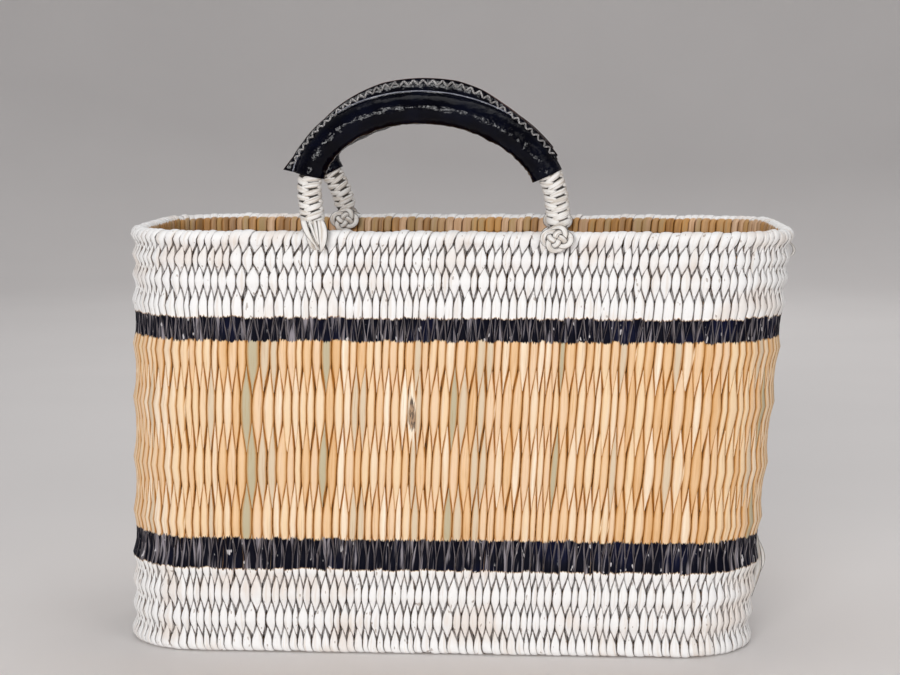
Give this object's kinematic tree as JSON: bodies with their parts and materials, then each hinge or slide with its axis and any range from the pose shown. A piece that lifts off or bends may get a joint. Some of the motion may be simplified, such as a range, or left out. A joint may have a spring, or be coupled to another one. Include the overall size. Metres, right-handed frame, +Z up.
{
  "type": "market tote basket",
  "caption": "Woven reed market tote with an open flared top, painted bands and leather-gripped rope handles that lean at the rim.",
  "frame": {"origin": "centre of the footprint on the floor", "axes": "+X along the basket's length to the right, +Y from front to back, +Z up"},
  "size_m": [0.4304, 0.211, 0.3631],
  "materials": {
    "natural_reed": "dry matt reed",
    "inner_cord": "twisted plant fibre",
    "white_paint": "chalky paint",
    "navy_paint": "dark paint",
    "white_reed": "painted reed strips",
    "padding_rope": "plant fibre rope",
    "navy_leather": "glossy leather",
    "white_thread": "waxed thread"
  },
  "bodies": {
    "basket": {"front_reeds_1": "natural_reed", "front_reeds_2": "natural_reed", "front_reeds_3": "natural_reed", "right_reeds": "natural_reed", "back_reeds_1": "natural_reed", "back_reeds_2": "natural_reed", "back_reeds_3": "natural_reed", "left_reeds": "natural_reed", "front_right_corner_reeds": "natural_reed", "back_right_corner_reeds": "natural_reed", "back_left_corner_reeds": "natural_reed", "front_left_corner_reeds": "natural_reed", "course_cord_01": "inner_cord", "course_cord_02": "inner_cord", "course_cord_03": "inner_cord", "course_cord_04": "inner_cord", "course_cord_05": "inner_cord", "course_cord_06": "inner_cord", "course_cord_07": "inner_cord", "course_cord_08": "inner_cord", "course_cord_09": "inner_cord", "course_cord_10": "inner_cord", "course_cord_11": "inner_cord", "rim_cord": "inner_cord", "rim_binding": "white_reed", "upper_white_paint": "white_paint", "lower_white_paint": "white_paint", "upper_navy_paint": "navy_paint", "lower_navy_paint": "navy_paint", "base_reeds_left": "natural_reed", "base_reeds_middle": "natural_reed", "base_reeds_right": "natural_reed", "base_cord_1": "inner_cord", "base_cord_2": "inner_cord", "base_cord_3": "inner_cord", "base_cord_4": "inner_cord", "base_cord_5": "inner_cord", "front_left_outer_lashing": "white_reed", "front_left_inner_lashing": "white_reed", "front_right_outer_lashing": "white_reed", "front_right_inner_lashing": "white_reed", "back_left_outer_lashing": "white_reed", "back_left_inner_lashing": "white_reed", "back_right_outer_lashing": "white_reed", "back_right_inner_lashing": "white_reed"},
    "front_handle": {"front_handle_core": "padding_rope", "front_left_leg_wrap": "white_reed", "front_right_leg_wrap": "white_reed", "front_grip_padding": "padding_rope", "front_grip_leather": "navy_leather", "front_grip_thread": "white_thread"},
    "back_handle": {"back_handle_core": "padding_rope", "back_left_leg_wrap": "white_reed", "back_right_leg_wrap": "white_reed", "back_grip_padding": "padding_rope", "back_grip_leather": "navy_leather", "back_grip_thread": "white_thread"}
  },
  "joints": [
    {"name": "front_handle_lean", "type": "hinge", "parent": "basket", "child": "front_handle", "pos_m": [-0.0108, -0.09318, 0.264], "axis": [-1, 0, 0], "range_deg": [-30, 40]},
    {"name": "back_handle_lean", "type": "hinge", "parent": "basket", "child": "back_handle", "pos_m": [-0.0108, 0.09318, 0.264], "axis": [1, 0, 0], "range_deg": [-30, 40]}
  ]
}
